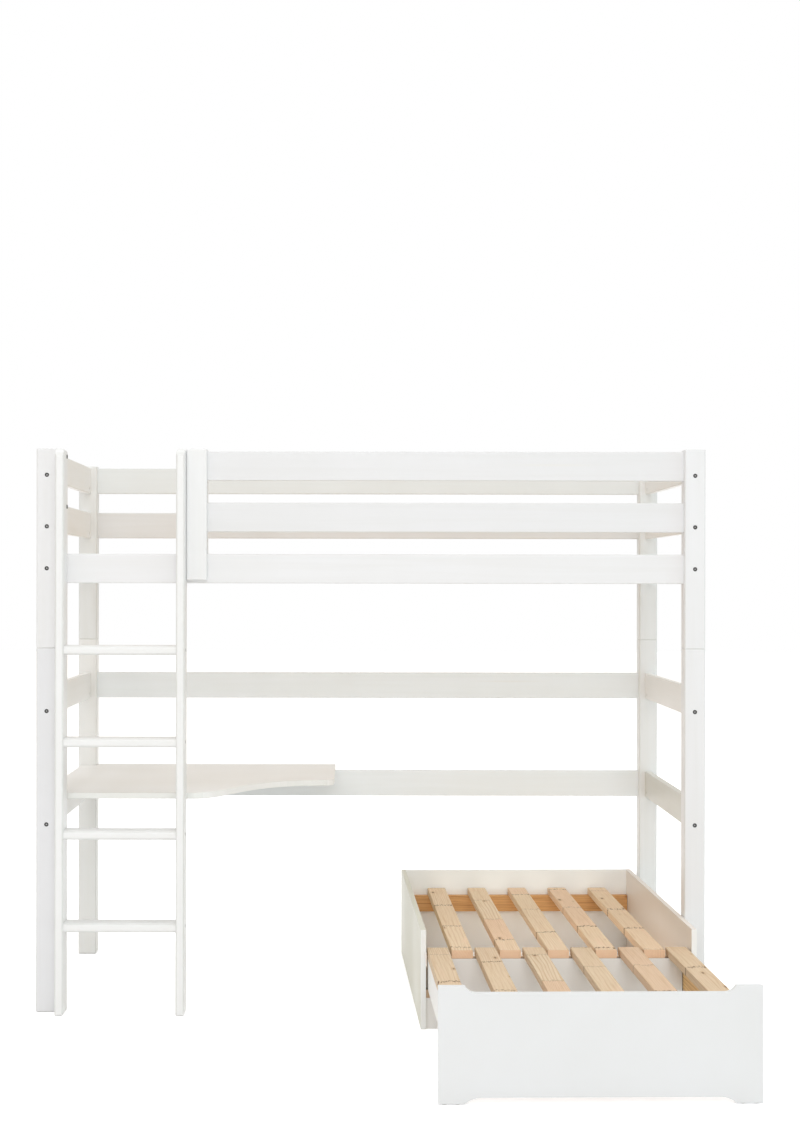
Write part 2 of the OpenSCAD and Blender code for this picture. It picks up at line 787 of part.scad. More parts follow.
module rung(i) {
    inset = rung_housing - seat_gap;
    color(paint)
        difference() {
            translate([left_inner_x - inset, rung_y, rung_zs[i]])
                board_x(right_inner_x - left_inner_x + 2 * inset, rung_d, rung_t, rung_edge_r);
            at_rung_bolts() bolt_hole(rung_bolt_l);
        }
}

module ladder_rung_1() { rung(0); }
module ladder_rung_2() { rung(1); }
module ladder_rung_3() { rung(2); }
module ladder_rung_4() { rung(3); }

module ladder_bolts() { color(steel) at_ladder_bolts() bolt(ladder_bolt_l); }
module rung_bolts() { color(steel) at_rung_bolts() bolt(rung_bolt_l); }

// ---- Desk top ----

module desk_top() {
    front = stringer_back + seat_gap;
    back = bed_w - desk_wall_setback;
    narrow = front + wave_depth;
    wave_end = desk_l - desk_corner_r;
    wave = [[wave_start, front], [wave_start + wave_handle, front],
            [wave_end - wave_lean - wave_handle / 2, narrow], [wave_end, narrow]];
    free_corner = [for (a = [-75:15:0])
        [wave_end + desk_corner_r * cos(a), narrow + desk_corner_r + desk_corner_r * sin(a)]];
    notch = post_w + board_gap;
    color(paint)
        translate([0, 0, desk_z])
            difference() {
                linear_extrude(desk_t)
                    polygon(concat(
                        [[desk_end_setback, front]],
                        [for (i = [0:wave_n]) bezier(wave, i / wave_n)],
                        free_corner,
                        [[desk_l, back], [desk_end_setback, back]]));
                translate([0, 0, -cut])
                    cube([notch, notch, desk_t + 2 * cut]);
                translate([0, bed_w - notch, -cut])
                    cube([notch, notch, desk_t + 2 * cut]);
            }
}

// ---- Lounge ----

// Puts a piece of the lounge, drawn in its own frame, in its place beside the right post
module in_lounge() {
    translate([lounge_x, lounge_y, 0])
        rotate([0, 0, lounge_turn])
            translate([-lounge_w, 0, 0])
                children();
}

// Box between two opposite corners
module span(low, high) {
    translate(low)
        cube(high - low);
}

// Screws through both side panels into the cross board and the back panel: y and z of each
panel_screw_l = panel_t + 2 * screw_bite;
panel_screws = concat(
    [for (z = [low_screw_z, runner_z - low_screw_z / 2]) [(cross_front + cross_back) / 2, z]],
    [for (k = [1, 3, 5]) [-panel_t / 2, panel_h * k / 6]]);
module at_panel_screws() {
    for (p = panel_screws) {
        translate([0, p[0], p[1]]) face_left() children();
        translate([lounge_w, p[0], p[1]]) face_right() children();
    }
}

// Screws through the back panel into its ledger
back_screw_l = panel_t + screw_bite;
module at_back_screws() {
    for (k = [1, 3, 5, 7])
        translate([lounge_w * k / 8, 0, slat_z - back_ledger_h / 2]) face_back() children();
}

// Screws through the runners into the side panels
runner_screw_l = runner_w + panel_bite;
module at_runner_screws() {
    for (k = [1, 3, 5]) {
        y = cross_front - (cross_front - ledger_front) * k / 6;
        translate([slide_inner_x, y, runner_z + runner_h / 2]) face_right() children();
        translate([lounge_w - slide_inner_x, y, runner_z + runner_h / 2]) face_left() children();
    }
}

module panel_screw_holes() {
    at_panel_screws() screw_hole(panel_screw_l);
    at_back_screws() screw_hole(back_screw_l);
    at_runner_screws() screw_hole(runner_screw_l);
}

// Side panel with its left face at x
module side_panel(x) {
    color(paint)
        in_lounge()
            difference() {
                translate([x + panel_t / 2, -lounge_d, 0])
                    board_y(lounge_d, panel_t, panel_h, board_edge_r);
                panel_screw_holes();
            }
}
module lounge_left_panel() { side_panel(0); }
module lounge_right_panel() { side_panel(lounge_w - panel_t); }

module lounge_back_panel() {
    color(paint)
        in_lounge()
            difference() {
                translate([panel_t, -panel_t / 2, 0])
                    board_x(lounge_w - 2 * panel_t, panel_t, panel_h, board_edge_r);
                panel_screw_holes();
            }
}

// Cross board with a notch at each end for the runner and the pull-out rail
module lounge_cross_board() {
    notch_w = slide_inner_x + 2 * board_gap;
    color(paint)
        in_lounge()
            difference() {
                span([panel_t, cross_front, 0], [lounge_w - panel_t, cross_back, slat_z]);
                for (x = [0, lounge_w - notch_w])
                    span([x, cross_front - cut, runner_z - seat_gap],
                         [x + notch_w, cross_back + cut, slat_z + cut]);
                panel_screw_holes();
            }
}

module lounge_back_ledger() {
    inset = panel_t + board_gap;
    color(pine)
        in_lounge()
            difference() {
                translate([inset, -panel_t - back_ledger_t / 2, slat_z - back_ledger_h])
                    board_x(lounge_w - 2 * inset, back_ledger_t, back_ledger_h, board_edge_r);
                panel_screw_holes();
            }
}

module lounge_runners() {
    color(pine)
        in_lounge()
            difference() {
                for (x = [panel_t + runner_w / 2, lounge_w - panel_t - runner_w / 2])
                    translate([x, cross_front + board_gap, runner_z])
                        board_y(ledger_front - cross_front - 2 * board_gap, runner_w, runner_h, board_edge_r);
                panel_screw_holes();
            }
}

function slat_x(i, n) = lounge_w / 2 + (i - (n - 1) / 2) * slat_pitch;

module lounge_slats() {
    back = -panel_t - slat_end_gap;
    color(pine)
        in_lounge()
            for (i = [0:slat_n - 1])
                translate([slat_x(i, slat_n), slat_front, slat_z])
                    board_y(back - slat_front, slat_w, slat_t, slat_edge_r);
}

module lounge_screws() {
    color(steel)
        in_lounge() {
            at_panel_screws() screw(panel_screw_l);
            at_back_screws() screw(back_screw_l);
            at_runner_screws() screw(runner_screw_l);
        }
}

// ---- Pull-out ----

// Screws through the front ledger into the front panel
front_screw_l = front_ledger_t + panel_bite;
module at_front_screws() {
    z = slat_lift - back_ledger_h / 2;
    for (k = [1, 3, 5, 7])
        translate([lounge_w * k / 8, front_ledger_back, z]) face_back() children();
}

// Screws through the side rails into the ends of the front ledger and the rear rail: y and z of each
side_screw_l = slide_rail_t + 2 * screw_bite;
side_screws = concat(
    [for (k = [1, 3]) [front_back + front_ledger_t / 2, slat_lift - back_ledger_h * k / 4]],
    [for (k = [1, 3]) [rear_rail_y0 + slide_rail_t / 2, slide_rail_z + slide_rail_h * k / 4]]);
module at_side_screws() {
    for (p = side_screws) {
        translate([slide_rail_x, p[0], p[1]]) face_left() children();
        translate([lounge_w - slide_rail_x, p[0], p[1]]) face_right() children();
    }
}

module pullout_screw_holes() {
    at_front_screws() screw_hole(front_screw_l);
    at_side_screws() screw_hole(side_screw_l);
}

function reverse(points) = [for (i = [len(points) - 1:-1:0]) points[i]];
function mirror_x(points) = [for (p = reverse(points)) [-p[0], p[1]]];

// Arc that leaves (x0, z0) level and ends w further on and h higher (lower if h is negative), in n steps
function hollow_arc(x0, z0, w, h, n = 6) =
    let (r = (w * w + h * h) / (2 * h), turn = 2 * atan(h / w))
    [for (i = [0:n]) [x0 + r * sin(turn * i / n), z0 + r * (1 - cos(turn * i / n))]];

// The front panel stands on two feet and rises at both ends, each with a hollow curve beside it.
// Half of its outline runs from the middle to the right end, about x = 0.
front_half = lounge_w / 2 + front_overhang;
front_top_z = front_mid_z + ear_rise;
foot_arc = hollow_arc(front_half - foot_w - foot_curve, glide_t + arch_rise, foot_curve, -arch_rise);
ear_arc = hollow_arc(front_half - ear_w - ear_curve, front_mid_z, ear_curve, ear_rise);
front_outline = concat(
    foot_arc,
    corner(front_half - board_edge_r, glide_t + board_edge_r, board_edge_r, 270, 2),
    corner(front_half - board_edge_r, front_top_z - board_edge_r, board_edge_r, 0, 2),
    reverse(ear_arc));

module pullout_front_panel() {
    color(paint)
        in_lounge()
            difference() {
                translate([lounge_w / 2, front_back, 0])
                    rotate([90, 0, 0])
                        linear_extrude(front_t)
                            polygon(concat(front_outline, mirror_x(front_outline)));
                at_front_screws() screw_hole(front_screw_l);
            }
}

module pullout_front_ledger() {
    inset = slide_inner_x + board_gap;
    color(pine)
        in_lounge()
            difference() {
                translate([inset, front_back + front_ledger_t / 2, slat_lift - back_ledger_h])
                    board_x(lounge_w - 2 * inset, front_ledger_t, back_ledger_h, board_edge_r);
                pullout_screw_holes();
            }
}

// Side rail of the pull-out, standing on its runner
module slide_rail(x) {
    back = rear_rail_y0 + slide_rail_t;
    color(paint)
        in_lounge()
            difference() {
                translate([x + slide_rail_t / 2, front_back, slide_rail_z])
                    board_y(back - front_back, slide_rail_t, slide_rail_h, board_edge_r);
                at_side_screws() screw_hole(side_screw_l);
            }
}
module pullout_left_rail() { slide_rail(slide_rail_x); }
module pullout_right_rail() { slide_rail(lounge_w - slide_inner_x); }

// Rear rail that carries the pull-out slats, comb-cut where it passes under the fixed slats
module pullout_rear_rail() {
    top = slat_lift;
    relief = slat_w / 2 + comb_gap;
    color(pine)
        in_lounge()
            difference() {
                span([slide_inner_x, rear_rail_y0, slide_rail_z],
                     [lounge_w - slide_inner_x, rear_rail_y0 + slide_rail_t, top]);
                for (i = [0:slat_n - 1])
                    span([slat_x(i, slat_n) - relief, rear_rail_y0 - cut, top - comb_depth],
                         [slat_x(i, slat_n) + relief, rear_rail_y0 + slide_rail_t + cut, top + cut]);
                at_side_screws() screw_hole(side_screw_l);
            }
}

module pullout_slats() {
    color(pine)
        in_lounge()
            for (i = [0:slat_n])
                translate([slat_x(i, slat_n + 1), front_back, slat_lift])
                    board_y(pullout_slat_back - front_back, slat_w, slat_t, slat_edge_r);
}

module pullout_screws() {
    color(steel)
        in_lounge() {
            at_front_screws() screw(front_screw_l);
            at_side_screws() screw(side_screw_l);
        }
}

module pullout_glides() {
    color(felt)
        in_lounge()
            for (x = [-front_overhang + foot_w / 4, -front_overhang + foot_w * 3 / 4])
                for (gx = [x, lounge_w - x])
                    translate([gx, front_y + front_t / 2, 0])
                        cylinder(d = glide_d, h = glide_t);
}

// ---- Assembly ----

module whole() {
    translate([-centre_x, -centre_y, 0])
        children();
}

whole() front_left_lower_post();
whole() front_left_upper_post();
whole() front_right_lower_post();
whole() front_right_upper_post();
whole() rear_left_lower_post();
whole() rear_left_upper_post();
whole() rear_right_lower_post();
whole() rear_right_upper_post();
whole() post_dowels();
whole() front_side_rail();
whole() front_lower_guard_rail();
whole() front_upper_guard_rail();
whole() guard_post();
whole() rear_desk_rail();
whole() rear_middle_rail();
whole() rear_side_rail();
whole() rear_lower_guard_rail();
whole() rear_upper_guard_rail();
whole() left_desk_rail();
whole() left_middle_rail();
whole() left_side_rail();
whole() left_lower_guard_rail();
whole() left_upper_guard_rail();
whole() right_desk_rail();
whole() right_middle_rail();
whole() right_side_rail();
whole() right_lower_guard_rail();
whole() right_upper_guard_rail();
whole() rail_bolts();
whole() barrel_nuts();
whole() rail_dowels();
whole() wood_screws();
whole() front_slat_ledger();
whole() rear_slat_ledger();
whole() bed_slats();
whole() ladder_left_stringer();
whole() ladder_right_stringer();
whole() ladder_rung_1();
whole() ladder_rung_2();
whole() ladder_rung_3();
whole() ladder_rung_4();
whole() ladder_bolts();
whole() rung_bolts();
whole() desk_top();
whole() lounge_left_panel();
whole() lounge_right_panel();
whole() lounge_back_panel();
whole() lounge_cross_board();
whole() lounge_back_ledger();
whole() lounge_runners();
whole() lounge_slats();
whole() lounge_screws();
whole() pullout_front_panel();
whole() pullout_front_ledger();
whole() pullout_left_rail();
whole() pullout_right_rail();
whole() pullout_rear_rail();
whole() pullout_slats();
whole() pullout_screws();
whole() pullout_glides();
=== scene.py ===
import json
import math

import bpy
from mathutils import Matrix, Vector


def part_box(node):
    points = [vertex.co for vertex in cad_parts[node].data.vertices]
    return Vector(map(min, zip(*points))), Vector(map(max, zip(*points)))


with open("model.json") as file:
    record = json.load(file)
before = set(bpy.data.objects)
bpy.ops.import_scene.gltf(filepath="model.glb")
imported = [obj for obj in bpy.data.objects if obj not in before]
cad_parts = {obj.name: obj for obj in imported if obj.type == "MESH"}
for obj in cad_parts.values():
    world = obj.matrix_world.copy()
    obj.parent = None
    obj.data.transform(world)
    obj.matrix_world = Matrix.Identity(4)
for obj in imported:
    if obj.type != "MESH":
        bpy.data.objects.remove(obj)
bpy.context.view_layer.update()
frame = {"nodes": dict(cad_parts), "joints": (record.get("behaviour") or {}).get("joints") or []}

# Lengths are in metres, colours linear.

# ---- Sizes shared with the CAD model ----

SLAT_W = 0.064          # width of a lounge slat
BED_SLAT_W = 0.070      # width of a slat of the upper bed
FIXED_SLATS = 5
PULLOUT_SLATS = 6
BED_SLATS = 14

# The lounge stands a little turned against the bed, and its slide with it.
slide_axis = Vector(frame["joints"][0]["axis"])
LOUNGE_TURN = math.atan2(-slide_axis.x, slide_axis.y)


def middle_of(name):
    low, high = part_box(name)
    return (low + high) / 2


def span_of(node):
    low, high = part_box(node)
    return high - low


# ---- Camera: the photograph's view, in its own pixels ----

PHOTO_W, PHOTO_H = 800, 1134
FOCAL_PX = 1900
AXIS_X, HORIZON_Y = 349.8, 580.6      # where the view axis meets the picture
CAMERA_PLACE = (-0.066, -5.9091, 1.350)
CAMERA_ROLL = math.radians(0.09)
SENSOR_MM = 36


def make_camera():
    data = bpy.data.cameras.new("camera")
    data.sensor_width = SENSOR_MM
    data.lens = FOCAL_PX / PHOTO_H * SENSOR_MM
    data.shift_x = (PHOTO_W / 2 - AXIS_X) / PHOTO_H
    data.shift_y = (HORIZON_Y - PHOTO_H / 2) / PHOTO_H
    camera = bpy.data.objects.new("camera", data)
    bpy.context.scene.collection.objects.link(camera)
    level = Matrix.Rotation(math.radians(90), 4, "X")
    roll = Matrix.Rotation(CAMERA_ROLL, 4, "Z")
    camera.matrix_world = Matrix.Translation(CAMERA_PLACE) @ level @ roll
    bpy.context.scene.camera = camera


# ---- Node trees ----


def colour(r, g, b):
    return (r, g, b, 1.0)


def grey(value):
    return colour(value, value, value)


class Graph:
    """A material's or a world's node tree. A value may be a number, a tuple or a node's output."""

    def __init__(self, owner):
        self.owner = owner
        owner.use_nodes = True
        self.tree = owner.node_tree
        self.tree.nodes.clear()

    def node(self, kind, inputs=None, **settings):
        made = self.tree.nodes.new("ShaderNode" + kind)
        for key, value in settings.items():
            setattr(made, key, value)
        for key, value in (inputs or {}).items():
            if isinstance(value, bpy.types.NodeSocket):
                self.tree.links.new(value, made.inputs[key])
            else:
                made.inputs[key].default_value = value
        return made

    def math(self, operation, a, b=0.0, c=0.0):
        return self.node("Math", {0: a, 1: b, 2: c}, operation=operation).outputs[0]

    def add(self, a, b):
        return self.math("ADD", a, b)

    def subtract(self, a, b):
        return self.math("SUBTRACT", a, b)

    def multiply(self, a, b):
        return self.math("MULTIPLY", a, b)

    def multiply_add(self, a, b, c):
        return self.math("MULTIPLY_ADD", a, b, c)

    def largest(self, a, b):
        return self.math("MAXIMUM", a, b)

    def smallest(self, a, b):
        return self.math("MINIMUM", a, b)

    def absolute(self, a):
        return self.math("ABSOLUTE", a)

    def floor(self, a):
        return self.math("FLOOR", a)

    def vector(self, operation, a, b):
        return self.node("VectorMath", {0: a, 1: b}, operation=operation).outputs[0]

    def split(self, vector):
        return self.node("SeparateXYZ", {0: vector}).outputs

    def join(self, x, y, z):
        return self.node("CombineXYZ", {0: x, 1: y, 2: z}).outputs[0]

    def coords(self):
        return self.node("TexCoord").outputs["Object"]

    def facing(self):
        """The direction that the surface looks in, as three numbers."""
        return self.split(self.node("TexCoord").outputs["Normal"])

    def object_random(self):
        return self.node("ObjectInfo").outputs["Random"]

    def turned(self, vector, turn):
        inputs = {"Vector": vector, "Rotation": (0.0, 0.0, turn)}
        return self.node("Mapping", inputs, vector_type="POINT").outputs[0]

    def noise(self, vector, scale, detail=2.0, roughness=0.5, distortion=0.0):
        inputs = {"Vector": vector, "Scale": scale, "Detail": detail, "Roughness": roughness,
                  "Distortion": distortion}
        return self.node("TexNoise", inputs).outputs["Fac"]

    def random(self, value):
        return self.node("TexWhiteNoise", {"W": value}, noise_dimensions="1D").outputs["Value"]

    def span(self, value, low, high, to_low=0.0, to_high=1.0):
        """Maps low..high to to_low..to_high, smoothly and within those limits."""
        inputs = {0: value, 1: low, 2: high, 3: to_low, 4: to_high}
        return self.node("MapRange", inputs, interpolation_type="SMOOTHSTEP").outputs[0]

    def mix(self, factor, a, b, blend="MIX"):
        made = self.node("Mix", {0: factor, 6: a, 7: b}, data_type="RGBA", blend_type=blend)
        return made.outputs[2]

    def bump(self, height, strength, distance, normal=None):
        inputs = {"Height": height, "Strength": strength, "Distance": distance}
        if normal is not None:
            inputs["Normal"] = normal
        return self.node("Bump", inputs).outputs[0]

    def edges(self, upright=True):
        """1 on the eased edges of a board and 0 on its faces, from the way the surface looks.
        Upright edges are left out where a board's faces themselves curve in plan."""
        x, y, z = (self.absolute(part) for part in self.facing())
        eased = self.multiply(z, self.largest(x, y))
        if upright:
            eased = self.largest(eased, self.multiply(x, y))
        return self.span(eased, 0.12, 0.42)

    def surface(self, tint, rough, normal, others):
        """A Principled shader, with its other inputs by their names."""
        inputs = {"Base Color": tint, "Roughness": rough, "Normal": normal, **others}
        return self.node("BsdfPrincipled", inputs)

    def blend(self, factor, a, b):
        return self.node("MixShader", {0: factor, 1: a.outputs[0], 2: b.outputs[0]})

    def finish(self, shader, output="OutputMaterial"):
        self.tree.links.new(shader.outputs[0], self.node(output).inputs["Surface"])
        return self.owner


def material_graph(name):
    return Graph(bpy.data.materials.new(name))


# ---- White lacquer ----

# The white lacquer's tone at each place, matched to the photograph place by place. The tones differ by
# painted light and shade: lighter, darker, warmer or cooler for how light falls on each place, and
# warmer on the right panel as a painted reflection of the pine slats.
PAINT_AND_SHADE = {
    "front": (0.822, 0.822, 0.834),
    "front_low": (0.785, 0.788, 0.808),
    "guard_post": (0.840, 0.840, 0.845),
    "front_panel": (0.775, 0.783, 0.795),
    "front_guard": (0.790, 0.790, 0.802),
    "rear_guard": (0.775, 0.775, 0.775),
    "rear_guard_up": (0.800, 0.825, 0.830),
    "rear_up": (0.840, 0.850, 0.845),
    "rear_low": (0.890, 0.892, 0.880),
    "rear_right": (0.840, 0.850, 0.850),
    "low_side": (0.695, 0.690, 0.640),
    "ladder": (0.866, 0.868, 0.868),
    "side": (0.875, 0.868, 0.852),
    "rear": (0.868, 0.902, 0.918),
    "desk": (0.925, 0.920, 0.907),
    "carcass": (0.940, 0.950, 0.930),
    "carcass_right": (0.820, 0.760, 0.700),
    "carcass_left": (0.690, 0.680, 0.585),
}
# The places, each with its painted light and shade, of grained boards. A function further on gives
# those of the boards not named here.
PAINT_AND_SHADE_OF = {
    "front_upper_guard_rail": "front_guard", "front_lower_guard_rail": "front_guard",
    "front_left_lower_post": "front_low", "guard_post": "guard_post",
    "rear_upper_guard_rail": "rear_guard_up", "rear_lower_guard_rail": "rear_guard",
    "rear_right_upper_post": "rear_right", "rear_right_lower_post": "rear_right",
    "right_desk_rail": "low_side",
    "rear_desk_rail": "rear", "rear_middle_rail": "rear", "rear_side_rail": "rear",
    "rear_left_upper_post": "rear_up", "rear_left_lower_post": "rear_low",
}
THIN_COAT = (0.028, 0.030, 0.040)      # how much darker a thin coat is
PAINT_KNOT = colour(0.80, 0.775, 0.70)
# Eased edges: worn paint, also darkened as a painted shade line along them.
PAINT_WORN_AND_SHADED = colour(0.69, 0.69, 0.665)
# An edge band's tone on whatever looks to the front. It is also painted shade against the strong light
# those faces take.
EDGE_BAND_AND_SHADE = {"carcass": colour(0.90, 0.91, 0.905), "desk": colour(0.84, 0.85, 0.82)}
# Bare chipboard on the cross board's cuts, dark enough to be a painted shadow in the notches' slots.
RAW_BOARD_AND_SHADOW = colour(0.30, 0.20, 0.125)
RAW_BOARD_AND_SHADOW_DARK = colour(0.20, 0.13, 0.08)

# Noises: scale, and where given detail, roughness and distortion
STREAKS = (1.6, 5.0, 0.55, 0.4)
PORES = (9.0, 3.0, 0.6)
CLOUD = (3.0, 2.0)
WEAR = (14.0, 3.0)
PEEL = (420.0, 1.0)
PANEL_CLOUD = (2.2, 3.0)
PANEL_PEEL = (260.0, 2.0)
PANEL_SPECK = (700.0, 2.0)
COAT_KNOTS = 0.55              # scale of the knots under the coat

GRAIN_STRETCH = 30.0           # length of the grain's figures against their width
GRAIN_STEP = 40.0              # the boards are cut from places up to this far apart
GRAIN_SHOWN = 0.7              # how far the grain shows through the coat
GUARD_POST_EDGE_DARKENING = 0.2          # how far its edges are darkened, by wear and painted shade, against other boards' edges
PANEL_EDGE_WEAR_AND_SHADE = 0.4
PEEL_DEPTH = 0.0002
LACQUER_GLOSS = {"Specular IOR Level": 0.35}


def grain_coords(graph, axis):
    """Object coordinates in which a noise is drawn out along the grain, shifted by a random step
    for each object."""
    shift = graph.multiply(graph.object_random(), GRAIN_STEP)
    moved = graph.vector("ADD", graph.coords(), graph.join(shift, shift, shift))
    scale = tuple(1.0 if name == axis else GRAIN_STRETCH for name in "XYZ")
    return graph.vector("MULTIPLY", moved, scale)


def shaded_coats(place):
    """A full and a slightly thinner coat of the place's white lacquer, in the place's tone with its
    painted light and shade.
    """
    full = PAINT_AND_SHADE[place]
    return colour(*full), colour(*(part - less for part, less in zip(full, THIN_COAT)))


def lacquer_shader(graph, axis, place):
    """Satin white lacquer over wood whose grain runs along the axis."""
    full, thin = shaded_coats(place)
    coords, grain = graph.coords(), grain_coords(graph, axis)
    streaks, pores = graph.noise(grain, *STREAKS), graph.noise(grain, *PORES)
    cloud, peel = graph.noise(coords, *CLOUD), graph.noise(coords, *PEEL)
    knots = graph.node("TexVoronoi", {"Vector": grain, "Scale": COAT_KNOTS}).outputs["Distance"]
    tint = graph.mix(graph.span(streaks, 0.35, 0.7, 0.0, GRAIN_SHOWN), full, thin)
    tint = graph.mix(graph.span(cloud, 0.3, 0.75, 0.0, 0.5), tint, thin)
    tint = graph.mix(graph.span(knots, 0.1, 0.02, 0.0, 0.35 * GRAIN_SHOWN), tint, PAINT_KNOT)
    # The eased edges are darkened: worn paint, and a painted shade line along them. The guard post's
    # edges are darkened less, as shade already falls on them.
    wear = graph.span(graph.noise(coords, *WEAR), 0.3, 0.65, 0.35, 0.6)
    worn_and_shaded = graph.multiply(graph.edges(), wear)
    if place == "guard_post":
        worn_and_shaded = graph.multiply(worn_and_shaded, GUARD_POST_EDGE_DARKENING)
    tint = graph.mix(worn_and_shaded, tint, PAINT_WORN_AND_SHADED)
    height = graph.add(graph.multiply(streaks, 0.7), graph.multiply(pores, 0.3))
    normal = graph.bump(height, 0.16 * GRAIN_SHOWN, 0.0008)
    normal = graph.bump(peel, 0.05, PEEL_DEPTH, normal)
    rough = graph.span(cloud, 0.25, 0.8, 0.36, 0.46)
    return graph.surface(tint, rough, normal, LACQUER_GLOSS)


def lacquer(axis, place):
    graph = material_graph("lacquer_" + place + "_" + axis.lower())
    return graph.finish(lacquer_shader(graph, axis, place))


def panel_lacquer(place, raw_shadowed_cuts=False):
    """Lacquer on a smooth panel, with only the spray's own texture, and its edges darkened by wear and
    by a painted shade line.
    A panel with an edge band shows it on what looks to the front, in a tone that is also painted shade
    against the light those faces take. With raw cuts, whatever looks neither to the front nor to the
    back is bare chipboard, dark enough to be a painted shadow in the notches' slots."""
    full, thin = shaded_coats(place)
    graph = material_graph("lacquer_panel_" + place)
    coords = graph.coords()
    cloud, peel = graph.noise(coords, *PANEL_CLOUD), graph.noise(coords, *PANEL_PEEL)
    tint = graph.mix(graph.span(cloud, 0.3, 0.75), full, thin)
    # Faces that look to the front take the band's tone: an edge band, and painted shade for the light
    # they get.
    band_and_shade = EDGE_BAND_AND_SHADE.get(place.split("_")[0])
    if band_and_shade:
        ahead = graph.multiply(graph.facing()[1], -1.0)
        tint = graph.mix(graph.span(ahead, 0.75, 0.95, 0.0, 0.85), tint, band_and_shade)
    # The cuts are bare chipboard, kept dark as a painted shadow in the slots around the slats.
    if raw_shadowed_cuts:
        speck = graph.noise(coords, *PANEL_SPECK)
        cut = graph.span(graph.absolute(graph.facing()[1]), 0.7, 0.4, 0.0, 0.95)
        tint = graph.mix(cut, tint, graph.mix(speck, RAW_BOARD_AND_SHADOW, RAW_BOARD_AND_SHADOW_DARK))
    # The eased edges are darkened: worn paint, and a painted shade line along them.
    worn_and_shaded = graph.multiply(graph.edges(upright=False), PANEL_EDGE_WEAR_AND_SHADE)
    tint = graph.mix(worn_and_shaded, tint, PAINT_WORN_AND_SHADED)
    normal = graph.bump(peel, 0.08, PEEL_DEPTH)
    rough = graph.span(cloud, 0.25, 0.8, 0.34, 0.44)
    return graph.finish(graph.surface(tint, rough, normal, LACQUER_GLOSS))


# ---- Natural pine ----

# Three tones of early wood, and the late wood's
PINE = (colour(0.79, 0.61, 0.415), colour(0.81, 0.655, 0.465), colour(0.82, 0.59, 0.41),
        colour(0.60, 0.385, 0.205))
AMBER = (colour(0.68, 0.385, 0.16), colour(0.76, 0.46, 0.20), colour(0.60, 0.29, 0.10),
         colour(0.30, 0.11, 0.03))
HONEY = (colour(0.95, 0.62, 0.27), colour(0.98, 0.68, 0.32), colour(0.90, 0.54, 0.22),
         colour(0.38, 0.18, 0.06))
KNOT_DARK = colour(0.17, 0.085, 0.035)
SAWN_END = colour(0.93, 0.62, 0.42)

SINGLE_NUMBERS = 50.0          # a piece that stands alone gets a number up to this
TREE_LENGTH = 90.0             # the pieces are cut from places up to this far apart
RING_STEPS = (37.0, 2.0)       # the same for their rings, along and across
JOINT_LENGTH = 0.37            # mean distance between finger joints
JOINT_STRAY = 0.8              # how far a joint strays, as a share of that
JOINT_WANDER = 0.055           # how far it strays within the piece's width
FINGER_W = 0.004               # width of a finger, half of the fingers' pitch
FINGER_SLOPE = 1.6             # rise of its flanks along the grain against its width
TIP_REACH = 0.019              # farthest reach of the fingers' open tips from the joint
RINGS = (520.0, 1150.0)        # fewest and most rings, in radians per metre
RING_BEND = 0.038              # how far the rings bend
RING_TILT = 0.8                # how far they lean over the height
KNOT_SIZE = 0.075              # of the largest knots, in cells
STRAY_SCALE = 2.1              # scales of the joints' noises: along the grain,
WANDER_SCALE = (24.0, 6.0)     # across it and along it,
TEETH_SCALE = 130.0            # and across it
DEPTH_SCALE = 90.0
# Scales of the wood's noises, along the grain and across it
BEND_SCALE = (2.2, 14.0)
STREAK_SCALE = (4.0, 150.0)
BLUSH_SCALE = (7.0, 30.0)
FIBRE_SCALE = (14.0, 900.0)
KNOT_SCALE = (2.9, 15.0)
PINE_GLOSS = {"Specular IOR Level": 0.3}


def pine_coords(graph, node, along="Y", turn=0.0, pitch=0.0, shift=0.5):
    """(u along the grain, v across it, height, number of the piece) of a node's pieces, which
    stand pitch apart, or are one if pitch is 0."""
    local = graph.vector("SUBTRACT", graph.coords(), tuple(middle_of(node)))
    x, y, z = graph.split(graph.turned(local, -turn))
    u, v = (y, x) if along == "Y" else (x, y)
    if pitch:
        index = graph.floor(graph.add(graph.math("DIVIDE", v, pitch), shift))
    else:
        index = graph.multiply(graph.object_random(), SINGLE_NUMBERS)
    return u, v, z, index


def wood_noise(graph, at, scale, detail, roughness=0.5, round_z=False):
    """Noise at (u, v, z), with its scales along and across the grain. With round_z the height is
    scaled as the width is."""
    u, v, z = at
    along, across = scale
    z = graph.multiply(z, across) if round_z else z
    spot = graph.join(graph.multiply(u, along), graph.multiply(v, across), z)
    return graph.noise(spot, 1.0, detail, roughness)


